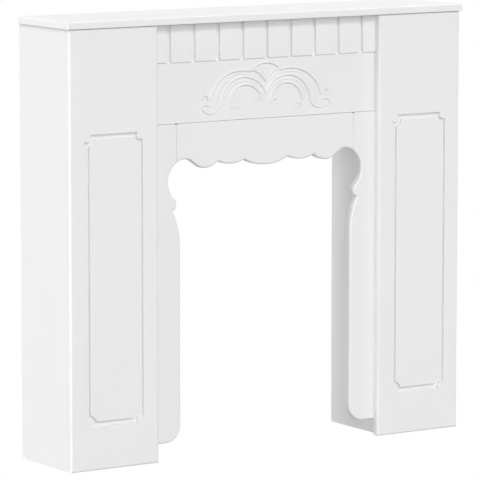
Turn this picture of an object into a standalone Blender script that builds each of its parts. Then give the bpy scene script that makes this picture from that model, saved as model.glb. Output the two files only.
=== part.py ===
# Fireplace mantelpiece: a flat-pack surround of white film-wrapped boards.
# The front faces -Y, +X is to the viewer's right and +Z is up, all in metres.
import bmesh
import bpy
import math
from mathutils import Vector

# Body and boards
BODY_WIDTH = 0.991
BODY_HEIGHT = 0.925
BODY_DEPTH = 0.2055
PANEL = 0.015
SIDE_PANEL = 0.015
SHELF_THICKNESS = 0.015
SHELF_OVERHANG = 0.0045
SHELF_EDGE_RADIUS = 0.002
SHELF_EDGE_STEPS = 2
SEAT = 0.0003

# Pilaster fronts, which stand proud of everything between them
PILASTER_WIDTH = 0.2145
PILASTER_LIP = 0.017
EDGE_RADIUS = 0.005
EDGE_STEPS = 3

# Routed frame on each pilaster front
FRAME_SIDE = 0.0425
FRAME_FOOT = 0.0975
FRAME_HEAD = 0.2255
FRAME_SCOOP = 0.015
GROOVE_WIDTH = 0.011
GROOVE_DEPTH = 0.003
SCOOP_STEPS = 6

# Frieze board with its row of raised planks
FRIEZE_HEIGHT = 0.2105
PLANK_FOOT = 0.1285
PLANK_PITCH = 0.061
PLANK_GAP = 0.009
PLANK_RISE = 0.003
PLANK_RADIUS = 0.002
PLANK_STEPS = 2

# Carved scroll on the frieze, drawn as shares of its own half width and height
SCROLL_WIDTH = 0.334
SCROLL_HEIGHT = 0.106
SCROLL_FOOT = 0.0135
RIDGE_RADIUS = 0.0026
RIDGE_SINK = 0.0004
ARC_STEPS = 14
CURL_STEPS = 9

# Cheeks, the two shaped boards beside the fire opening, from the floor up
CHEEK_REACH = 0.0642
CHEEK_GROUND_GAP = 0.0365
CHEEK_CORNER = 0.036
TAPER_LENGTH = 0.072
NOSE_DEPTH = 0.0103
NOSE_HEIGHT = 0.028
NOSE_END_TURN = 130.0
ARCH_START_TURN = -52.0
ARCH_SPREAD = 0.0292
ARCH_HALF_WIDTH = 0.044
ARCH_HALF_HEIGHT = 0.0465
ARCH_DROP = 0.1225
CURVE_STEPS = 10
OPENING_RADIUS = 0.004
OPENING_STEPS = 2

# Apron between the cheeks; its lobes are shares of half the span between the arches
APRON_JOINT = 0.024
CUSP_DROP = 0.085
CENTRE_LOBE_SHARE = 0.275
CENTRE_LOBE_DROP = 0.014
SMALL_LOBE_SHARE = 0.327
SMALL_LOBE_DROP = 0.0075
END_LOBE_SHARE = 0.176
END_LOBE_DROP = 0.0125
LOBE_FULLNESS = 2.4
LOBE_STEPS = 10

# Places worked out from the sizes above
FRONT = -(BODY_DEPTH + SHELF_OVERHANG) / 2 + SHELF_OVERHANG
BACK = FRONT + BODY_DEPTH
RECESS = FRONT + PANEL + SEAT
HALF_WIDTH = BODY_WIDTH / 2
PILASTER_INNER = HALF_WIDTH - PILASTER_WIDTH
INNER_SIDE_FACE = PILASTER_INNER + PILASTER_LIP
FRIEZE_FOOT = BODY_HEIGHT - FRIEZE_HEIGHT
CHEEK_EDGE = PILASTER_INNER - CHEEK_REACH
ARCH_CENTRE = CHEEK_EDGE + ARCH_SPREAD - ARCH_HALF_WIDTH
ARCH_CENTRE_HEIGHT = FRIEZE_FOOT - ARCH_DROP
ARCH_CROWN = ARCH_CENTRE_HEIGHT + ARCH_HALF_HEIGHT
APRON_HALF_WIDTH = ARCH_CENTRE + APRON_JOINT
CUSP_HEIGHT = FRIEZE_FOOT - CUSP_DROP
EDGE_TOLERANCE = 1e-5
SHARP_TURN = math.pi / 4

WHITE_FILM = (0.83, 0.83, 0.83)
FILM_ROUGHNESS = 0.42


def clear_scene():
    for thing in list(bpy.data.objects):
        bpy.data.objects.remove(thing, do_unlink=True)


def make_collection(name):
    collection = bpy.data.collections.new(name)
    bpy.context.scene.collection.children.link(collection)
    return collection


def make_material(name):
    material = bpy.data.materials.new(name)
    material.use_nodes = True
    shader = material.node_tree.nodes["Principled BSDF"]
    shader.inputs["Base Color"].default_value = (*WHITE_FILM, 1.0)
    shader.inputs["Roughness"].default_value = FILM_ROUGHNESS
    shader.inputs["Metallic"].default_value = 0.0
    return material


def add_part(name, mesh):
    mesh.materials.append(make_material(name + "_film"))
    part = bpy.data.objects.new(name, mesh)
    mantel.objects.link(part)
    return part


def add_cutter(name, mesh):
    cutter = bpy.data.objects.new(name, mesh)
    cutters.objects.link(cutter)
    cutter.hide_render = True
    cutter.display_type = "WIRE"
    return cutter


def round_edges(body, chosen, radius, steps):
    # The radius isn't limited by edge lengths, as a curved edge is made of short ones
    bmesh.ops.bevel(
        body, geom=chosen, offset=radius, offset_type="OFFSET", affect="EDGES",
        segments=steps, profile=0.5, material=-1, clamp_overlap=False)


def edges_where(body, test):
    # Edges whose middle passes the test
    return [edge for edge in body.edges if test((edge.verts[0].co + edge.verts[1].co) / 2)]


def board_mesh(name, low, high, radius=0.0, steps=1, rounded=None):
    # A box between two corners; rounded(an edge's middle) picks the edges that are eased
    body = bmesh.new()
    bmesh.ops.create_cube(body, size=1.0)
    size = Vector(high) - Vector(low)
    middle = (Vector(high) + Vector(low)) / 2
    bmesh.ops.scale(body, vec=size, verts=body.verts)
    bmesh.ops.translate(body, vec=middle, verts=body.verts)
    if rounded:
        round_edges(body, edges_where(body, rounded), radius, steps)
    mesh = bpy.data.meshes.new(name)
    body.to_mesh(mesh)
    body.free()
    return mesh


def outline_board(name, outline):
    # A flat outline in X and Z, filled, given the board's thickness and stood upright behind the lips
    curve = bpy.data.curves.new(name, "CURVE")
    curve.dimensions = "2D"
    curve.fill_mode = "BOTH"
    curve.extrude = PANEL / 2
    spline = curve.splines.new("POLY")
    spline.points.add(len(outline) - 1)
    for point, (x, z) in zip(spline.points, outline):
        point.co = (x, z, 0.0, 1.0)
    spline.use_cyclic_u = True
    flat = bpy.data.objects.new(name + "_outline", curve)
    cutters.objects.link(flat)
    flat.rotation_euler = (math.pi / 2, 0.0, 0.0)
    flat.location = (0.0, RECESS + PANEL / 2, 0.0)
    bpy.context.view_layer.update()
    evaluated = flat.evaluated_get(bpy.context.evaluated_depsgraph_get())
    mesh = bpy.data.meshes.new_from_object(evaluated)
    mesh.name = name
    mesh.transform(flat.matrix_world)
    bpy.data.objects.remove(flat, do_unlink=True)
    body = bmesh.new()
    body.from_mesh(mesh)
    bmesh.ops.remove_doubles(body, verts=body.verts, dist=EDGE_TOLERANCE)
    bmesh.ops.recalc_face_normals(body, faces=body.faces)
    # The front edge is eased all along the fire opening, and left square at the joints
    reach = INNER_SIDE_FACE - 2 * SEAT
    chosen = edges_where(
        body, lambda place: place.y < RECESS + EDGE_TOLERANCE
        and place.z < ARCH_CROWN + EDGE_TOLERANCE and abs(place.x) < reach)
    chosen = [edge for edge in chosen if edge.calc_face_angle(0.0) > SHARP_TURN]
    round_edges(body, chosen, OPENING_RADIUS, OPENING_STEPS)
    body.to_mesh(mesh)
    body.free()
    return add_part(name, mesh)


def tube_along(name, points, radius, closed=False):
    # A round bar along a line of places, made a mesh so that it can cut or be joined
    curve = bpy.data.curves.new(name, "CURVE")
    curve.dimensions = "3D"
    curve.bevel_depth = radius
    curve.bevel_resolution = 2
    curve.use_fill_caps = not closed
    spline = curve.splines.new("POLY")
    spline.points.add(len(points) - 1)
    for point, place in zip(spline.points, points):
        point.co = (*place, 1.0)
    spline.use_cyclic_u = closed
    bar = bpy.data.objects.new(name + "_line", curve)
    cutters.objects.link(bar)
    bpy.context.view_layer.update()
    evaluated = bar.evaluated_get(bpy.context.evaluated_depsgraph_get())
    mesh = bpy.data.meshes.new_from_object(evaluated)
    mesh.name = name
    bpy.data.objects.remove(bar, do_unlink=True)
    body = bmesh.new()
    body.from_mesh(mesh)
    bmesh.ops.remove_doubles(body, verts=body.verts, dist=EDGE_TOLERANCE)
    bmesh.ops.recalc_face_normals(body, faces=body.faces)
    body.to_mesh(mesh)
    body.free()
    return add_cutter(name, mesh)


def combine(target, other, operation):
    step = target.modifiers.new(operation.lower(), "BOOLEAN")
    step.operation = operation
    step.solver = "EXACT"
    step.object = other
    return step


def ellipse_points(centre, half_axes, start, end, steps):
    # Places on an ellipse between two angles in degrees, both ends included
    places = []
    for i in range(steps + 1):
        turn = math.radians(start + (end - start) * i / steps)
        places.append((centre[0] + half_axes[0] * math.cos(turn), centre[1] + half_axes[1] * math.sin(turn)))
    return places


def spiral_points(centre, start_radius, end_radius, start, end, steps):
    places = []
    for i in range(steps + 1):
        share = i / steps
        turn = math.radians(start + (end - start) * share)
        radius = start_radius + (end_radius - start_radius) * share
        places.append((centre[0] + radius * math.cos(turn), centre[1] + radius * math.sin(turn)))
    return places


def mirror_points(points):
    return [(-x, z) for x, z in points]


def make_shelf():
    reach = HALF_WIDTH + SHELF_OVERHANG
    add_part("mantel_shelf", board_mesh(
        "mantel_shelf",
        (-reach, FRONT - SHELF_OVERHANG, BODY_HEIGHT),
        (reach, BACK, BODY_HEIGHT + SHELF_THICKNESS),
        SHELF_EDGE_RADIUS, SHELF_EDGE_STEPS,
        lambda place: place.y < BACK - EDGE_TOLERANCE))


def frame_path(middle):
    # The routed line: a rectangle whose corners are scooped by quarter circles
    half = PILASTER_WIDTH / 2 - FRAME_SIDE
    foot = FRAME_FOOT
    head = BODY_HEIGHT - FRAME_HEAD
    corners = (
        (middle - half, head, 0.0, -90.0),
        (middle + half, head, -90.0, -180.0),
        (middle + half, foot, 180.0, 90.0),
        (middle - half, foot, 90.0, 0.0))
    path = []
    for x, z, start, end in corners:
        path += reversed(ellipse_points((x, z), (FRAME_SCOOP, FRAME_SCOOP), start, end, SCOOP_STEPS))
    return path


def add_upright(name, sign, near, far, front, back):
    # A plain upright board between two distances from the middle
    add_part(name, board_mesh(
        name,
        (min(sign * near, sign * far), front, 0.0),
        (max(sign * near, sign * far), back, BODY_HEIGHT - SEAT)))


def make_pilaster(side, sign):
    name = side + "_pilaster_front"
    edges = sorted((sign * PILASTER_INNER, sign * HALF_WIDTH))
    front = add_part(name, board_mesh(
        name,
        (edges[0], FRONT, 0.0),
        (edges[1], FRONT + PANEL, BODY_HEIGHT - SEAT),
        EDGE_RADIUS, EDGE_STEPS,
        lambda place: place.y < FRONT + EDGE_TOLERANCE))
    cut_radius = ((GROOVE_WIDTH / 2) ** 2 + GROOVE_DEPTH ** 2) / (2 * GROOVE_DEPTH)
    cut_centre = FRONT - cut_radius + GROOVE_DEPTH
    path = [(x, cut_centre, z) for x, z in frame_path(sum(edges) / 2)]
    combine(front, tube_along(side + "_frame_cutter", path, cut_radius, True), "DIFFERENCE")
    add_upright(side + "_inner_side", sign, INNER_SIDE_FACE, INNER_SIDE_FACE + SIDE_PANEL, RECESS, BACK)
    add_upright(side + "_outer_side", sign, HALF_WIDTH - SIDE_PANEL, HALF_WIDTH, RECESS, BACK)


def scroll_lines():
    # Ridge lines of the right half, as shares of the scroll's half width and height
    shell_arm = [(0.0, 0.62), (0.05, 0.70), (0.105, 0.78), (0.155, 0.825), (0.205, 0.842)]
    outer = ellipse_points((0.371, 0.16), (0.479, 0.69), 107.0, 12.0, ARC_STEPS)
    outer += ellipse_points((0.917, 0.335), (0.036, 0.06), 190.0, -20.0, CURL_STEPS)[1:]
    middle = ellipse_points((0.329, 0.208), (0.341, 0.505), 160.0, 6.0, ARC_STEPS)
    middle += ellipse_points((0.832, 0.274), (0.165, 0.259), 184.0, 318.0, CURL_STEPS)[1:]
    inner = list(reversed(spiral_points((0.126, 0.217), 0.054, 0.030, 185.0, 430.0, CURL_STEPS)))
    inner += ellipse_points((0.308, 0.208), (0.2365, 0.349), 176.0, 4.0, ARC_STEPS)
    inner += spiral_points((0.467, 0.100), 0.072, 0.030, 20.0, -300.0, CURL_STEPS)
    tip = ellipse_points((0.910, 0.094), (0.078, 0.099), 122.0, -8.0, CURL_STEPS)
    return {"shell_arm": shell_arm, "outer_band": outer, "middle_band": middle,
            "inner_band": inner, "leaf_tip": tip}


def to_frieze(points):
    half = SCROLL_WIDTH / 2
    foot = FRIEZE_FOOT + SCROLL_FOOT
    depth = RECESS + PLANK_RISE + RIDGE_SINK
    return [(x * half, depth, foot + z * SCROLL_HEIGHT) for x, z in points]


def make_frieze():
    reach = INNER_SIDE_FACE - SEAT
    head = BODY_HEIGHT - SEAT
    field = RECESS + PLANK_RISE
    frieze = add_part("frieze_panel", board_mesh(
        "frieze_panel", (-reach, field, FRIEZE_FOOT + SEAT / 2), (reach, RECESS + PANEL, head)))

    # Planks stand on the field with an even gap between them, and the end ones run behind the lips
    count = math.floor((PILASTER_INNER - PLANK_GAP) / PLANK_PITCH)
    spans = [(i * PLANK_PITCH + PLANK_GAP / 2, (i + 1) * PLANK_PITCH - PLANK_GAP / 2)
             for i in range(-count, count)]
    spans = ([(-reach, -count * PLANK_PITCH - PLANK_GAP / 2)] + spans
             + [(count * PLANK_PITCH + PLANK_GAP / 2, reach)])
    for number, (left, right) in enumerate(spans):
        name = "plank_%d" % number
        plank = add_cutter(name, board_mesh(
            name,
            (left, RECESS, FRIEZE_FOOT + PLANK_FOOT),
            (right, field + PANEL / 2, head),
            PLANK_RADIUS, PLANK_STEPS,
            lambda place: place.y < RECESS + EDGE_TOLERANCE and place.z < head - EDGE_TOLERANCE
            and abs(place.x) < reach - EDGE_TOLERANCE))
        combine(frieze, plank, "UNION")

    for name, points in scroll_lines().items():
        combine(frieze, tube_along(name + "_right", to_frieze(points), RIDGE_RADIUS), "UNION")
        combine(frieze, tube_along(name + "_left", to_frieze(mirror_points(points)), RIDGE_RADIUS), "UNION")
    shell_rim = ellipse_points((0.0, 0.512), (0.297, 0.468), 125.0, 55.0, CURL_STEPS)
    combine(frieze, tube_along("shell_rim", to_frieze(shell_rim), RIDGE_RADIUS), "UNION")


def arch_height(x):
    across = (x - ARCH_CENTRE) / ARCH_HALF_WIDTH
    return ARCH_CENTRE_HEIGHT + ARCH_HALF_HEIGHT * math.sqrt(1 - across ** 2)


def cheek_outline():
    # Right cheek: up its shaped inner edge from the foot, then back down behind the lip
    outer = INNER_SIDE_FACE - SEAT
    head = FRIEZE_FOOT - SEAT / 2
    joint = APRON_HALF_WIDTH + SEAT / 2
    joint_turn = math.degrees(math.acos((joint - ARCH_CENTRE) / ARCH_HALF_WIDTH))
    arch = ellipse_points(
        (ARCH_CENTRE, ARCH_CENTRE_HEIGHT), (ARCH_HALF_WIDTH, ARCH_HALF_HEIGHT),
        ARCH_START_TURN, joint_turn, CURVE_STEPS)

    # The nose ends where the arch starts, and the taper ends at the notch under the nose
    nose_half = NOSE_HEIGHT / 2
    end = math.radians(NOSE_END_TURN)
    nose_x = arch[0][0] - NOSE_DEPTH * math.cos(end)
    nose_z = arch[0][1] - nose_half * math.sin(end)
    nose = ellipse_points((nose_x, nose_z), (NOSE_DEPTH, nose_half), 270.0, NOSE_END_TURN, CURVE_STEPS)
    taper_start = nose[0][1] - TAPER_LENGTH
    taper = []
    for i in range(CURVE_STEPS):
        share = i / CURVE_STEPS
        taper.append((CHEEK_EDGE + (nose_x - CHEEK_EDGE) * share ** 2, taper_start + TAPER_LENGTH * share))
    corner = (CHEEK_EDGE + CHEEK_CORNER, CHEEK_GROUND_GAP + CHEEK_CORNER)
    foot = ellipse_points(corner, (CHEEK_CORNER, CHEEK_CORNER), 270.0, 180.0, SCOOP_STEPS)
    return [(outer, CHEEK_GROUND_GAP)] + foot + taper + nose[:-1] + arch + [(joint, head), (outer, head)]


def apron_edge(x):
    # Height of the scalloped lower edge at a distance from the middle
    first = CENTRE_LOBE_SHARE * ARCH_CENTRE
    second = first + SMALL_LOBE_SHARE * ARCH_CENTRE
    third = second + END_LOBE_SHARE * ARCH_CENTRE
    low = CUSP_HEIGHT - END_LOBE_DROP
    if x <= first:
        return CUSP_HEIGHT - CENTRE_LOBE_DROP * (1 - (x / first) ** LOBE_FULLNESS)
    if x <= second:
        share = 2 * (x - first) / (second - first) - 1
        return CUSP_HEIGHT - SMALL_LOBE_DROP * (1 - share ** 2)
    if x <= third:
        return low + END_LOBE_DROP * ((third - x) / (third - second)) ** LOBE_FULLNESS
    if x <= ARCH_CENTRE:
        turn = math.pi * (x - third) / (ARCH_CENTRE - third)
        return low + (ARCH_CROWN - low) * (1 - math.cos(turn)) / 2
    return arch_height(x)


def apron_outline():
    reach = APRON_HALF_WIDTH - SEAT / 2
    head = FRIEZE_FOOT - SEAT / 2
    third = CENTRE_LOBE_SHARE + SMALL_LOBE_SHARE + END_LOBE_SHARE
    places = [0.0]
    for share in (CENTRE_LOBE_SHARE, SMALL_LOBE_SHARE, END_LOBE_SHARE, 1 - third):
        start = places[-1]
        places += [start + share * ARCH_CENTRE * (i + 1) / LOBE_STEPS for i in range(LOBE_STEPS)]
    places += [ARCH_CENTRE + (reach - ARCH_CENTRE) * (i + 1) / SCOOP_STEPS for i in range(SCOOP_STEPS)]
    half = [(x, apron_edge(x)) for x in places]
    left = [(-x, z) for x, z in reversed(half)]
    return [(-reach, head)] + left + half[1:] + [(reach, head)]


def make_infill():
    outline = cheek_outline()
    outline_board("right_cheek", outline)
    outline_board("left_cheek", list(reversed(mirror_points(outline))))
    outline_board("apron", apron_outline())


clear_scene()
mantel = make_collection("fireplace_mantelpiece")
cutters = make_collection("cutters")
make_shelf()
make_pilaster("left", -1)
make_pilaster("right", 1)
make_frieze()
make_infill()
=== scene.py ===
import bmesh
import bpy
import math
import numpy as np
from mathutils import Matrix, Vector


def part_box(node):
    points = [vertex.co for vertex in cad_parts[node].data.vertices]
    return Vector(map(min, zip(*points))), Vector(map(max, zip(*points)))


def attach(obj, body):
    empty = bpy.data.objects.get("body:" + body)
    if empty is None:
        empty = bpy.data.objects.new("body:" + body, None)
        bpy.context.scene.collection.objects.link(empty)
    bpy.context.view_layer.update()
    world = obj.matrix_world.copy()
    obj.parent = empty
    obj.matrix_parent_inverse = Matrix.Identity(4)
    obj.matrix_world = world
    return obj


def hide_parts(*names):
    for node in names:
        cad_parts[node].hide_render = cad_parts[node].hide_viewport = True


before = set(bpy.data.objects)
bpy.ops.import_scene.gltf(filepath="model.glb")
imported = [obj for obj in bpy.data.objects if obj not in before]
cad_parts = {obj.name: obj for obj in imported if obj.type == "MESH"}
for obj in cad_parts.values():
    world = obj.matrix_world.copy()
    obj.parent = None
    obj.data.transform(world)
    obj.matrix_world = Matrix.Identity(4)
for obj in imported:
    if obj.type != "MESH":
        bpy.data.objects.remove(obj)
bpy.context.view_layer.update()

print("frame loaded with", len(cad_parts), "boards")

millimetre = 0.001


# materials

filmSettings = {
    "tone": 0.805,
    "cloudScale": 9.0,
    "cloudDetail": 3.0,
    "cloudShare": 0.006,  # how far the clouding goes from the tone, as a share of it
    "roughness": 0.55,
    "glossScale": 38.0,
    "glossDetail": 2.0,
    "glossSpread": 0.03,
    "pebbleScale": 520.0,
    "pebbleDetail": 2.0,
    "pebbleDepth": 0.02 * millimetre,
    "pebbleStrength": 0.25,
    "specularLevel": 0.3,
}
# nearly all of a noise lies between these
noiseLow = 0.3
noiseHigh = 0.7


def addNoise(nodes, links, place, scale, detail):
    noise = nodes.new("ShaderNodeTexNoise")
    noise.inputs["Scale"].default_value = scale
    noise.inputs["Detail"].default_value = detail
    links.new(place, noise.inputs["Vector"])
    return noise.outputs["Fac"]


def spreadNoise(nodes, links, noise, low, high):
    # brings a noise to the range from low to high
    spread = nodes.new("ShaderNodeMapRange")
    spread.inputs["From Min"].default_value = noiseLow
    spread.inputs["From Max"].default_value = noiseHigh
    spread.inputs["To Min"].default_value = low
    spread.inputs["To Max"].default_value = high
    links.new(noise, spread.inputs["Value"])
    return spread.outputs["Result"]


def linkGrey(nodes, links, tone, socket):
    colour = nodes.new("ShaderNodeCombineColor")
    for channel in ("Red", "Green", "Blue"):
        links.new(tone, colour.inputs[channel])
    links.new(colour.outputs["Color"], socket)


def makeFilm(name):
    # satin film pressed over board: faint clouding, a slightly uneven gloss and a fine pebble
    settings = filmSettings
    material = bpy.data.materials.new(name)
    material.use_nodes = True
    nodes = material.node_tree.nodes
    links = material.node_tree.links
    shader = nodes["Principled BSDF"]
    place = nodes.new("ShaderNodeTexCoord").outputs["Object"]

    cloud = addNoise(nodes, links, place, settings["cloudScale"], settings["cloudDetail"])
    reach = settings["tone"] * settings["cloudShare"]
    tone = spreadNoise(nodes, links, cloud, settings["tone"] - reach, settings["tone"] + reach)
    linkGrey(nodes, links, tone, shader.inputs["Base Color"])

    gloss = addNoise(nodes, links, place, settings["glossScale"], settings["glossDetail"])
    roughness = spreadNoise(nodes, links, gloss, settings["roughness"] - settings["glossSpread"],
                            settings["roughness"] + settings["glossSpread"])
    links.new(roughness, shader.inputs["Roughness"])

    pebble = addNoise(nodes, links, place, settings["pebbleScale"], settings["pebbleDetail"])
    bump = nodes.new("ShaderNodeBump")
    bump.inputs["Strength"].default_value = settings["pebbleStrength"]
    bump.inputs["Distance"].default_value = settings["pebbleDepth"]
    links.new(pebble, bump.inputs["Height"])
    links.new(bump.outputs["Normal"], shader.inputs["Normal"])
    shader.inputs["Specular IOR Level"].default_value = settings["specularLevel"]
    return material


frontFilm = makeFilm("frontFilm")
sideFilm = makeFilm("sideFilm")
shelfFilm = makeFilm("shelfFilm")


# shared making of pieces

sharedSettings = {
    "mergeDistance": 0.001 * millimetre,
    "sharpAngle": 40.0,  # in degrees
    "parallel": 0.02,  # neighbouring edges whose directions cross by less run on in one line
    "cornerSteps": 4,
}


def addObject(name, body, material):
    mesh = bpy.data.meshes.new(name)
    body.to_mesh(mesh)
    body.free()
    mesh.materials.append(material)
    thing = bpy.data.objects.new(name, mesh)
    bpy.context.scene.collection.objects.link(thing)
    return thing


def finishPiece(name, body, material, node, sharpAngle=sharedSettings["sharpAngle"]):
    # turns a closed bmesh into a piece that stands for its board
    bmesh.ops.remove_doubles(body, verts=body.verts, dist=sharedSettings["mergeDistance"])
    bmesh.ops.recalc_face_normals(body, faces=body.faces)
    piece = addObject(name, body, material)
    piece.data.shade_smooth()
    piece.data.set_sharp_from_angle(angle=math.radians(sharpAngle))
    weighted = piece.modifiers.new("weightedNormals", "WEIGHTED_NORMAL")
    weighted.keep_sharp = True
    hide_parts(node)
    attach(piece, "root")


def makeBox(low, high):
    body = bmesh.new()
    bmesh.ops.create_cube(body, size=1.0)
    bmesh.ops.scale(body, vec=high - low, verts=body.verts)
    bmesh.ops.translate(body, vec=(high + low) / 2, verts=body.verts)
    return body


def roundEdges(body, edges, radius, segments):
    bmesh.ops.bevel(body, geom=edges, offset=radius, offset_type="OFFSET", affect="EDGES",
                    segments=segments, profile=0.5, material=-1)


def easedLoop(outline, radii, depth):
    # the outline moved inwards by what each edge's rounding takes away at this depth
    cuts = []
    normals = []
    for i, (x, z) in enumerate(outline):
        nextX, nextZ = outline[(i + 1) % len(outline)]
        length = math.hypot(nextX - x, nextZ - z)
        normals.append(((z - nextZ) / length, (nextX - x) / length))
        radius = radii[i]
        remaining = max(radius - depth, 0.0)
        cuts.append(radius - math.sqrt(radius ** 2 - remaining ** 2))
    moved = []
    for i, (x, z) in enumerate(outline):
        (ax, az), (bx, bz) = normals[i - 1], normals[i]
        a, b = cuts[i - 1], cuts[i]
        cross = ax * bz - az * bx
        if abs(cross) < sharedSettings["parallel"]:
            moved.append((x + (ax * a + bx * b) / 2, z + (az * a + bz * b) / 2))
        else:
            moved.append((x + (a * bz - b * az) / cross, z + (b * ax - a * bx) / cross))
    return moved


def addLoop(body, places, depth):
    verts = [body.verts.new((x, depth, z)) for x, z in places]
    return [body.edges.new((verts[i - 1], verts[i])) for i in range(len(verts))]


def bridgeLoops(body, loops):
    for first, second in zip(loops, loops[1:]):
        bmesh.ops.bridge_loops(body, edges=first + second)


def makeEasedBoard(outline, radii, front, back, depths):
    # a board cut to an outline, whose front edges are rounded, each by its own radius;
    # the front is still open
    body = bmesh.new()
    loops = []
    for depth in depths:
        loops.append(addLoop(body, easedLoop(outline, radii, depth * millimetre), front + depth * millimetre))
    loops.append(addLoop(body, outline, back))
    bridgeLoops(body, loops)
    bmesh.ops.contextual_create(body, geom=loops[-1])
    return body, loops[0]


def ellipse(centre, axes, start, end, steps):
    turns = [math.radians(start + (end - start) * i / steps) for i in range(steps + 1)]
    return [(centre[0] + axes[0] * math.cos(turn), centre[1] + axes[1] * math.sin(turn)) for turn in turns]


def fillet(points, index, radius):
    # rounds one corner of an outline with an arc
    steps = sharedSettings["cornerSteps"]
    here = Vector(points[index])
    before = (Vector(points[index - 1]) - here).normalized()
    after = (Vector(points[(index + 1) % len(points)]) - here).normalized()
    half = before.angle(after) / 2
    reach = radius / math.tan(half)
    start = here + before * reach
    end = here + after * reach
    centre = here + (before + after).normalized() * (radius / math.sin(half))
    arc = []
    for i in range(steps + 1):
        share = i / steps
        spoke = ((start - centre) * (1 - share) + (end - centre) * share).normalized()
        arc.append(tuple(centre + spoke * radius))
    return arc


# shelf

shelfLow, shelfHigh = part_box("mantel_shelf")
shelfSettings = {
    "edgeRadius": 2.0 * millimetre,
    "undersideRadius": 0.5 * millimetre,
    "segments": 4,
}


def isUnder(edge):
    # whether an edge lies wholly in the shelf's underside
    limit = shelfLow.z + shelfSettings["undersideRadius"]
    return all(vert.co.z < limit for vert in edge.verts)


def makeShelf():
    settings = shelfSettings
    body = makeBox(shelfLow, shelfHigh)
    others = [edge for edge in body.edges if not isUnder(edge)]
    roundEdges(body, others, settings["edgeRadius"], settings["segments"])
    under = [edge for edge in body.edges if isUnder(edge)]
    roundEdges(body, under, settings["undersideRadius"], settings["segments"])
    finishPiece("mantelShelf", body, shelfFilm, "mantel_shelf")


makeShelf()
print("shelf made")


# side boards, plain with barely broken edges

sideSettings = {"edgeRadius": 0.2 * millimetre, "segments": 2}
for node in ("left_outer_side", "right_outer_side", "left_inner_side", "right_inner_side"):
    low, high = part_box(node)
    body = makeBox(low, high)
    roundEdges(body, list(body.edges), sideSettings["edgeRadius"], sideSettings["segments"])
    side, part = node.split("_", 1)
    finishPiece(side + part.title().replace("_", ""), body, sideFilm, node)
print("side boards made")


# pilaster fronts with their routed frames

pilasterSettings = {
    "edgeRadius": 5.0 * millimetre,
    "depths": [0.0, 0.12, 0.45, 1.0, 1.8, 2.8, 3.9, 5.0],  # of the rounding's rings, in millimetres
    "frameSide": 42.5 * millimetre,
    "frameFoot": 97.5 * millimetre,
    "frameHead": 225.5 * millimetre,
    "scoop": 15.0 * millimetre,
    "scoopSteps": 14,
    # half of the groove's section: distance from its middle and depth, in millimetres
    "section": [(6.5, 0.0), (6.2, 0.05), (5.9, 0.2), (5.6, 0.55), (5.4, 1.2), (5.3, 2.4), (5.2, 4.6),
                (4.95, 5.6), (4.4, 6.1), (3.6, 6.35), (0.0, 6.4)],
}


def frameLoop(middle, foot, head, half, offset):
    # the frame's rectangle with scooped corners, moved out by an offset
    steps = pilasterSettings["scoopSteps"]
    radius = pilasterSettings["scoop"] - offset
    lean = math.degrees(math.asin(offset / radius))
    places = []
    corners = ((half, head, 270.0, 180.0), (-half, head, 360.0, 270.0),
               (-half, foot, 90.0, 0.0), (half, foot, 180.0, 90.0))
    for x, z, start, end in corners:
        places += ellipse((middle + x, z), (radius, radius), start + lean, end - lean, steps)
    return places


def makePilaster(name, node):
    settings = pilasterSettings
    low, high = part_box(node)
    outline = [(low.x, low.z), (high.x, low.z), (high.x, high.z), (low.x, high.z)]
    radii = [settings["edgeRadius"]] * len(outline)
    body, rim = makeEasedBoard(outline, radii, low.y, high.y, settings["depths"])
    middle = (low.x + high.x) / 2
    half = (high.x - low.x) / 2 - settings["frameSide"]
    foot = low.z + settings["frameFoot"]
    head = high.z - settings["frameHead"]
    section = settings["section"]
    mirrored = [(-distance, depth) for distance, depth in reversed(section[:-1])]
    loops = []
    for distance, depth in section + mirrored:
        places = frameLoop(middle, foot, head, half, distance * millimetre)
        loops.append(addLoop(body, places, low.y + depth * millimetre))
    bridgeLoops(body, loops)
    bmesh.ops.triangle_fill(body, use_beauty=True, use_dissolve=False, edges=rim + loops[0])
    bmesh.ops.contextual_create(body, geom=loops[-1])
    finishPiece(name, body, frontFilm, node)


makePilaster("leftPilasterFront", "left_pilaster_front")
makePilaster("rightPilasterFront", "right_pilaster_front")
print("pilaster fronts made")


# frieze board with its carved scroll, and the planks above it

friezeLow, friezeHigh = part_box("frieze_panel")
friezeSettings = {
    # the field stops at the pilasters, and the board's ends behind them keep nearly their full thickness
    "routedHalf": 280.6 * millimetre,
    "endEase": 0.1 * millimetre,
    "footRadius": 1.8 * millimetre,
    "footShares": (0.0, 0.07, 0.24, 0.54, 1.0),  # rows of the rounded foot, as shares of its radius
    "carvedHalfWidth": 172.0 * millimetre,
    "carvedFoot": 9.0 * millimetre,
    "carvedHead": 122.0 * millimetre,
    "carvedStep": 0.7 * millimetre,
    # the grooves between the planks are routed deeper than the field, in millimetres
    "grooveDrop": 3.2,
    "grooveFloor": 2.7,
    "grooveHalf": 4.4,
    "grooveEnd": 2.0,
    # the board's mesh is finer round the grooves beyond the carving, and round their feet
    "outerGrooves": (-4, -3, 3, 4),
    "grooveReach": 4.5 * millimetre,
    "footReach": 2.5 * millimetre,
    "grooveStep": 0.75 * millimetre,
    "sharpAngle": 80.0,  # in degrees, so that the carving stays smooth
}
plankSettings = {
    "rise": 3.4 * millimetre,
    "foot": 128.5 * millimetre,
    "pitch": 61.0 * millimetre,
    "gap": 8.4 * millimetre,
    "gaps": (-4, -3, -2, -1, 0, 1, 2, 3, 4),
    "endGap": 1.0 * millimetre,
    "headGap": 1.5 * millimetre,
    "thickness": 6.0 * millimetre,
    "edgeRadius": 1.6 * millimetre,
    "corner": 2.5 * millimetre,
    "depths": [0.0, 0.06, 0.24, 0.52, 0.94, 1.6],
}
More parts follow.
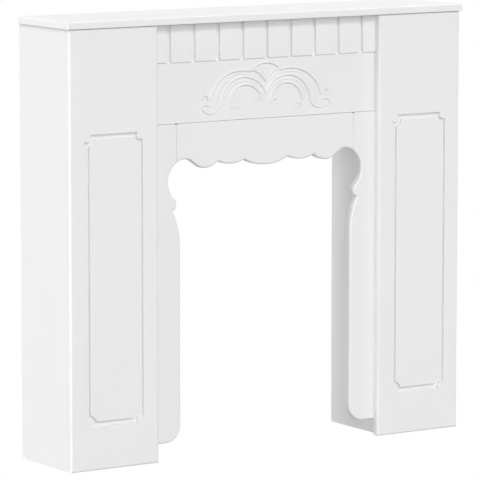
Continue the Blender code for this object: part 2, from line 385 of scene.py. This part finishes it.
scrollSettings = {
    # all sizes of the scroll are in millimetres
    "halfWidth": 167.0,
    "height": 106.0,
    "foot": 13.5,
    # each kind of line: height and breadth of the swell on its left, depth and breadth of the crease
    # on its right
    "bold": (1.6, 5.5, 2.7, 3.0),
    "fine": (1.1, 3.2, 2.6, 2.4),
    "hook": (1.0, 3.0, 3.4, 2.4),
    "curl": (0.5, 2.6, 2.4, 2.2),
    "faint": (0.45, 3.0, 0.8, 2.2),
    "flank": (1.2, 10.0, 0.0, 1.0),
    # the steep side between swell and crease
    "steepStart": 0.6,
    "steepEnd": -1.7,
}


def spiral(centre, startRadius, endRadius, start, end, steps):
    places = []
    for i in range(steps + 1):
        share = i / steps
        turn = math.radians(start + (end - start) * share)
        radius = startRadius + (endRadius - startRadius) * share
        places.append((centre[0] + radius * math.cos(turn), centre[1] + radius * math.sin(turn)))
    return places


def scrollLines():
    # lines of the right half, as shares of the scroll's half width and height; the swell is on their left;
    # each arc has a centre, its half axes or radii, its start and end turn in degrees, and its steps
    shellArm = [(0.0, 0.62), (0.05, 0.70), (0.105, 0.78), (0.155, 0.825), (0.205, 0.842)]
    outer = ellipse((0.371, 0.16), (0.479, 0.69), 107.0, 12.0, 48)
    outerHook = ellipse((0.917, 0.335), (0.036, 0.06), 190.0, -20.0, 20)
    middle = ellipse((0.329, 0.208), (0.341, 0.505), 160.0, 6.0, 48)
    middleHook = ellipse((0.832, 0.274), (0.165, 0.259), 184.0, 318.0, 24)
    innerCurl = list(reversed(spiral((0.126, 0.217), 0.054, 0.030, 185.0, 430.0, 24)))
    inner = ellipse((0.308, 0.208), (0.2365, 0.349), 176.0, 4.0, 48)
    volute = spiral((0.467, 0.100), 0.072, 0.030, 20.0, -300.0, 30)
    leafTip = ellipse((0.910, 0.094), (0.078, 0.099), 122.0, -8.0, 16)
    outerRoll = ellipse((0.371, 0.16), (0.434, 0.625), 107.0, 60.0, 24)
    middleRoll = ellipse((0.329, 0.208), (0.285, 0.425), 150.0, 20.0, 40)
    flank = ellipse((0.350, 0.18), (0.395, 0.59), 55.0, 8.0, 20)
    shellRim = ellipse((0.0, 0.512), (0.297, 0.468), 90.0, 55.0, 16)
    shellRib = [(0.024, 0.70), (0.078, 0.925)]
    return [("bold", shellArm), ("bold", outer), ("hook", outerHook), ("bold", middle),
            ("fine", middleHook), ("bold", inner), ("curl", innerCurl), ("curl", volute),
            ("fine", leafTip), ("faint", outerRoll), ("faint", middleRoll), ("flank", flank),
            ("bold", shellRim), ("faint", shellRib)]


def sideDistance(px, pz, line):
    # distance from every place to a line, positive on the left of its run
    best = np.full(px.shape, np.inf)
    side = np.ones(px.shape)
    for (ax, az), (bx, bz) in zip(line, line[1:]):
        dx, dz = bx - ax, bz - az
        share = np.clip(((px - ax) * dx + (pz - az) * dz) / (dx * dx + dz * dz), 0.0, 1.0)
        distance = np.hypot(px - ax - share * dx, pz - az - share * dz)
        closer = distance < best
        best = np.where(closer, distance, best)
        side = np.where(closer, np.sign(dx * (pz - az) - dz * (px - ax)), side)
    return best * side


def smoothRise(value, start, end):
    share = np.clip((value - start) / (end - start), 0.0, 1.0)
    return share * share * (3.0 - 2.0 * share)


def reliefHeight(px, pz):
    # height of the carving above the field, at places measured from the middle of the frieze's foot,
    # all in millimetres
    settings = scrollSettings
    steepStart = settings["steepStart"]
    steepEnd = settings["steepEnd"]
    across = np.abs(px)
    swell = np.zeros(px.shape)
    crease = np.zeros(px.shape)
    for kind, line in scrollLines():
        top, gentle, depth, hollow = settings[kind]
        places = [(x * settings["halfWidth"], settings["foot"] + z * settings["height"]) for x, z in line]
        distance = sideDistance(across, pz, places)
        outer = 1.0 - smoothRise(distance, steepStart, steepStart + gentle)
        inner = smoothRise(distance, steepEnd, steepStart)
        swell = np.maximum(swell, top * outer * inner)
        down = smoothRise(distance, steepEnd - hollow, steepEnd)
        crease = np.maximum(crease, depth * down * (1.0 - inner))
    return swell - crease


def grooveDepth(px, pz):
    # depth of the plank grooves below the field, in millimetres
    settings = friezeSettings
    pitch = plankSettings["pitch"] / millimetre
    foot = plankSettings["foot"] / millimetre
    end = settings["grooveEnd"]
    distance = np.abs((px + pitch / 2) % pitch - pitch / 2)
    across = 1.0 - smoothRise(distance, settings["grooveFloor"], settings["grooveHalf"])
    return settings["grooveDrop"] * across * smoothRise(pz, foot - end, foot + end)


def evenSteps(low, high, step):
    count = round((high - low) / step)
    return [low + (high - low) * i / count for i in range(count + 1)]


def makeFriezeBoard():
    settings = friezeSettings
    low, high = friezeLow, friezeHigh
    field = low.y + plankSettings["rise"]
    footRadius = settings["footRadius"]
    carvedHalf = settings["carvedHalfWidth"]
    grooveReach = settings["grooveReach"]
    footReach = settings["footReach"]
    routedHalf = settings["routedHalf"]
    alongs = evenSteps(-carvedHalf, carvedHalf, settings["carvedStep"])
    for i in settings["outerGrooves"]:
        middle = i * plankSettings["pitch"]
        alongs += evenSteps(middle - grooveReach, middle + grooveReach, settings["grooveStep"])
    # the field's ends are doubled, which gives upright walls there
    alongs = [low.x, -routedHalf, -routedHalf] + sorted(alongs) + [routedHalf, routedHalf, high.x]
    ups = [low.z + footRadius * share for share in settings["footShares"]]
    ups += evenSteps(low.z + settings["carvedFoot"], low.z + settings["carvedHead"], settings["carvedStep"])
    plankFoot = low.z + plankSettings["foot"]
    ups += evenSteps(plankFoot - footReach, plankFoot + footReach, settings["grooveStep"])
    ups.append(high.z)
    body = bmesh.new()
    bmesh.ops.create_grid(body, x_segments=len(alongs) - 1, y_segments=len(ups) - 1, size=1.0)
    verts = sorted(body.verts, key=lambda vert: (round(vert.co.y, 6), round(vert.co.x, 6)))
    gridX, gridZ = np.meshgrid(alongs, ups)
    across = gridX / millimetre
    above = (gridZ - low.z) / millimetre
    height = (reliefHeight(across, above) - grooveDepth(across, above)) * millimetre
    gone = np.clip(footRadius - (gridZ - low.z), 0.0, None)
    drop = footRadius - np.sqrt(footRadius ** 2 - gone ** 2)
    depths = field + drop - height
    behindPilasters = (0, 1, -2, -1)
    depths[:, behindPilasters] = low.y + settings["endEase"]
    for vert, x, y, z in zip(verts, gridX.ravel(), depths.ravel(), gridZ.ravel()):
        vert.co = (x, y, z)
    rim = [edge for edge in body.edges if edge.is_boundary]
    walls = bmesh.ops.extrude_edge_only(body, edges=rim)["geom"]
    for item in walls:
        if isinstance(item, bmesh.types.BMVert):
            item.co.y = high.y
    backRim = [edge for edge in body.edges if edge.is_boundary]
    bmesh.ops.contextual_create(body, geom=backRim)
    finishPiece("friezeBoard", body, frontFilm, "frieze_panel", settings["sharpAngle"])


def makePlanks():
    settings = plankSettings
    low, high = friezeLow, friezeHigh
    foot = low.z + settings["foot"]
    head = high.z - settings["headGap"]
    middles = [i * settings["pitch"] for i in settings["gaps"]]
    lefts = [low.x + settings["endGap"]] + [middle + settings["gap"] / 2 for middle in middles]
    rights = [middle - settings["gap"] / 2 for middle in middles] + [high.x - settings["endGap"]]
    whole = bmesh.new()
    for left, right in zip(lefts, rights):
        square = [(left, foot), (right, foot), (right, head), (left, head)]
        outline = fillet(square, 0, settings["corner"]) + fillet(square, 1, settings["corner"]) + square[2:]
        radii = [settings["edgeRadius"]] * len(outline)
        body, rim = makeEasedBoard(outline, radii, low.y, low.y + settings["thickness"], settings["depths"])
        bmesh.ops.contextual_create(body, geom=rim)
        part = bpy.data.meshes.new("plank")
        body.to_mesh(part)
        body.free()
        whole.from_mesh(part)
        bpy.data.meshes.remove(part)
    finishPiece("friezePlanks", whole, frontFilm, "frieze_panel")


makeFriezeBoard()
makePlanks()
print("frieze made")


# cheeks and apron round the fire opening

cheekSettings = {
    "corner": 36.0 * millimetre,
    "taperLength": 72.0 * millimetre,
    "noseDepth": 10.3 * millimetre,
    "noseHeight": 28.0 * millimetre,
    "noseEndTurn": 130.0,
    "archStartTurn": -52.0,
    "archSpread": 29.2 * millimetre,
    "archHalfWidth": 44.0 * millimetre,
    "archHalfHeight": 46.5 * millimetre,
    "archDrop": 122.5 * millimetre,
    "steps": 26,
}
apronSettings = {
    "cuspDrop": 85.0 * millimetre,
    "centreShare": 0.275,
    "centreDrop": 14.0 * millimetre,
    "smallShare": 0.327,
    "smallDrop": 7.5 * millimetre,
    "endShare": 0.176,
    "endDrop": 12.5 * millimetre,
    "fullness": 2.4,
    "steps": 22,
    "crownSteps": 8,
}
openingSettings = {
    "edgeRadius": 4.5 * millimetre,
    "jointRadius": 1.5 * millimetre,
    "jointCorner": 5.8 * millimetre,
    "levelEase": 0.12 * millimetre,  # the level joint is this much more open
    "jointGap": 0.3 * millimetre,  # between the apron's ends and the cheeks
    "depths": [0.0, 0.1, 0.35, 0.8, 1.5, 2.4, 3.4, 4.5],
}
cheekLow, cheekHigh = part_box("right_cheek")
apronLow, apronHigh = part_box("apron")
levelEase = openingSettings["levelEase"]
friezeFoot = (cheekHigh.z + friezeLow.z) / 2  # height of the joint under the frieze
archCentre = cheekLow.x + cheekSettings["archSpread"] - cheekSettings["archHalfWidth"]
archCentreHeight = friezeFoot - cheekSettings["archDrop"]
archCrown = archCentreHeight + cheekSettings["archHalfHeight"]


def cheekEdge():
    # the shaped edge of the right cheek, from its foot up to the apron
    settings = cheekSettings
    steps = settings["steps"]
    joint = apronHigh.x + openingSettings["jointGap"]
    archEndTurn = math.degrees(math.acos((joint - archCentre) / settings["archHalfWidth"]))
    arch = ellipse((archCentre, archCentreHeight), (settings["archHalfWidth"], settings["archHalfHeight"]),
                   settings["archStartTurn"], archEndTurn, steps)
    noseHalf = settings["noseHeight"] / 2
    end = math.radians(settings["noseEndTurn"])
    noseX = arch[0][0] - settings["noseDepth"] * math.cos(end)
    noseZ = arch[0][1] - noseHalf * math.sin(end)
    nose = ellipse((noseX, noseZ), (settings["noseDepth"], noseHalf), 270.0, settings["noseEndTurn"], steps)
    taperStart = nose[0][1] - settings["taperLength"]
    taper = []
    for i in range(steps):
        share = i / steps
        taper.append((cheekLow.x + (noseX - cheekLow.x) * share ** 2,
                      taperStart + settings["taperLength"] * share))
    corner = settings["corner"]
    foot = ellipse((cheekLow.x + corner, cheekLow.z + corner), (corner, corner), 270.0, 180.0, steps)
    return foot + taper + nose[:-1] + arch


def makeCheek(name, node, sign):
    edge = cheekEdge()
    joint = edge[-1][0]
    head = cheekHigh.z - levelEase
    square = [edge[0], edge[-1], (joint, head), (cheekHigh.x, head)]
    top = fillet(square, 2, openingSettings["jointCorner"])
    outline = [(cheekHigh.x, cheekLow.z)] + edge + top + [(cheekHigh.x, head)]
    shaped = openingSettings["edgeRadius"]
    joined = openingSettings["jointRadius"]
    radii = [shaped] * len(edge) + [joined] * (len(outline) - len(edge))
    outline = [(sign * x, z) for x, z in outline]
    if sign > 0:
        # turned about, so that both cheeks run the same way round
        outline = outline[::-1]
        radii = radii[-2::-1] + radii[-1:]
    body, rim = makeEasedBoard(outline, radii, cheekLow.y, cheekHigh.y, openingSettings["depths"])
    bmesh.ops.contextual_create(body, geom=rim)
    finishPiece(name, body, frontFilm, node)


def apronEdge(x):
    # height of the scalloped edge at a distance from the middle
    settings = apronSettings
    cusp = friezeFoot - settings["cuspDrop"]
    first = settings["centreShare"] * archCentre
    second = first + settings["smallShare"] * archCentre
    third = second + settings["endShare"] * archCentre
    low = cusp - settings["endDrop"]
    if x <= first:
        return cusp - settings["centreDrop"] * (1 - (x / first) ** settings["fullness"])
    if x <= second:
        share = 2 * (x - first) / (second - first) - 1
        return cusp - settings["smallDrop"] * (1 - share ** 2)
    if x <= third:
        return low + settings["endDrop"] * ((third - x) / (third - second)) ** settings["fullness"]
    if x <= archCentre:
        return low + (archCrown - low) * (1 - math.cos(math.pi * (x - third) / (archCentre - third))) / 2
    across = (x - archCentre) / cheekSettings["archHalfWidth"]
    return archCentreHeight + cheekSettings["archHalfHeight"] * math.sqrt(1 - across ** 2)


def makeApron():
    settings = apronSettings
    reach = apronHigh.x
    head = apronHigh.z - levelEase
    shares = [settings["centreShare"], settings["smallShare"], settings["endShare"]]
    shares.append(1 - sum(shares))
    spans = [(share * archCentre, settings["steps"]) for share in shares]
    spans.append((reach - archCentre, settings["crownSteps"]))
    places = [0.0]
    for span, steps in spans:
        start = places[-1]
        places += [start + span * (i + 1) / steps for i in range(steps)]
    half = [(x, apronEdge(x)) for x in places]
    edge = [(-x, z) for x, z in reversed(half)] + half[1:]
    square = [(-reach, half[-1][1]), (reach, half[-1][1]), (reach, head), (-reach, head)]
    corner = openingSettings["jointCorner"]
    outline = edge + fillet(square, 2, corner) + fillet(square, 3, corner)
    shaped = openingSettings["edgeRadius"]
    joined = openingSettings["jointRadius"]
    radii = [shaped] * (len(edge) - 1) + [joined] * (len(outline) - len(edge) + 1)
    body, rim = makeEasedBoard(outline, radii, apronLow.y, apronHigh.y, openingSettings["depths"])
    bmesh.ops.contextual_create(body, geom=rim)
    finishPiece("scallopedApron", body, frontFilm, "apron")


makeCheek("leftCheek", "left_cheek", -1)
makeCheek("rightCheek", "right_cheek", 1)
makeApron()
print("cheeks and apron made")


# floor, light and camera

floorSettings = {
    "halfWidth": 40.0,
    "toneScale": 3.0,
    "toneDetail": 2.0,
    "toneLow": 0.09,
    "toneHigh": 0.11,
    "roughness": 0.9,
    "glow": 0.37,  # light that the floor sends up to the boards
}
lightSettings = {
    "ambient": 0.10,
    # each lamp's turn from the front towards the right, elevation and breadth in degrees, and strength
    "lamps": {
        "keyLamp": (0.0, 40.0, 9.0, 0.84),
        "frontPanel": (0.0, 10.0, 90.0, 1.74),
        "frontLeftLamp": (-30.0, 10.0, 36.0, 0.58),
        "leftLamp": (-90.0, 10.0, 36.0, 0.97),
        "leftRearLamp": (-106.0, 10.0, 30.0, 0.38),
        "upperLeftLamp": (-90.0, 55.0, 20.0, 1.61),
        "rightLamp": (90.0, 10.0, 36.0, 0.25),
        "rimLamp": (120.0, 25.0, 36.0, 1.08),
        "upperBackLamp": (180.0, 70.0, 36.0, 0.20),
        "backLamp": (180.0, 8.0, 30.0, 0.70),
    },
}
cameraSettings = {
    "lens": 282.5,
    "sensorWidth": 36.0,
    "clipEnd": 200.0,
    "place": (-4.3855, -6.7568, 1.5235),
    "tilt": 82.36,  # in degrees: 90 looks level, and less looks down
    "turn": -32.91,
}
white = (1.0, 1.0, 1.0, 1.0)


def showWhite(nodes, links, lit, seen, surface):
    # the first shader lights the boards, and the second, plain white, is what is seen behind them
    pick = nodes.new("ShaderNodeMixShader")
    ray = nodes.new("ShaderNodeLightPath")
    links.new(ray.outputs["Is Camera Ray"], pick.inputs[0])
    links.new(lit.outputs[0], pick.inputs[1])
    links.new(seen.outputs[0], pick.inputs[2])
    links.new(pick.outputs[0], surface)


def makeFloor():
    settings = floorSettings
    material = bpy.data.materials.new("paleFloor")
    material.use_nodes = True
    nodes = material.node_tree.nodes
    links = material.node_tree.links
    shader = nodes["Principled BSDF"]
    place = nodes.new("ShaderNodeTexCoord").outputs["Object"]
    noise = addNoise(nodes, links, place, settings["toneScale"], settings["toneDetail"])
    tone = spreadNoise(nodes, links, noise, settings["toneLow"], settings["toneHigh"])
    linkGrey(nodes, links, tone, shader.inputs["Base Color"])
    shader.inputs["Roughness"].default_value = settings["roughness"]
    shader.inputs["Specular IOR Level"].default_value = 0.0
    shader.inputs["Emission Color"].default_value = white
    shader.inputs["Emission Strength"].default_value = settings["glow"]
    seen = nodes.new("ShaderNodeEmission")
    showWhite(nodes, links, shader, seen, nodes["Material Output"].inputs["Surface"])

    body = bmesh.new()
    bmesh.ops.create_grid(body, x_segments=1, y_segments=1, size=settings["halfWidth"])
    addObject("floor", body, material)


def makeStudio():
    settings = lightSettings
    world = bpy.data.worlds.new("whiteStudio")
    bpy.context.scene.world = world
    world.use_nodes = True
    nodes = world.node_tree.nodes
    links = world.node_tree.links
    nodes.clear()
    out = nodes.new("ShaderNodeOutputWorld")
    studio = nodes.new("ShaderNodeBackground")
    studio.inputs["Strength"].default_value = settings["ambient"]
    seen = nodes.new("ShaderNodeBackground")
    for node in (studio, seen):
        node.inputs["Color"].default_value = white
    showWhite(nodes, links, studio, seen, out.inputs["Surface"])

    for name, (turn, elevation, breadth, strength) in settings["lamps"].items():
        light = bpy.data.lights.new(name, "SUN")
        light.energy = strength
        light.angle = math.radians(breadth)
        lamp = bpy.data.objects.new(name, light)
        bpy.context.scene.collection.objects.link(lamp)
        lamp.rotation_euler = (math.radians(90.0 - elevation), 0.0, math.radians(turn))


def makeCamera():
    settings = cameraSettings
    lens = bpy.data.cameras.new("camera")
    lens.sensor_width = settings["sensorWidth"]
    lens.lens = settings["lens"]
    lens.clip_end = settings["clipEnd"]
    camera = bpy.data.objects.new("camera", lens)
    bpy.context.scene.collection.objects.link(camera)
    camera.location = settings["place"]
    camera.rotation_euler = (math.radians(settings["tilt"]), 0.0, math.radians(settings["turn"]))
    bpy.context.scene.camera = camera


makeFloor()
makeStudio()
makeCamera()
bpy.context.scene.view_settings.view_transform = "Standard"
print("floor, light and camera set")
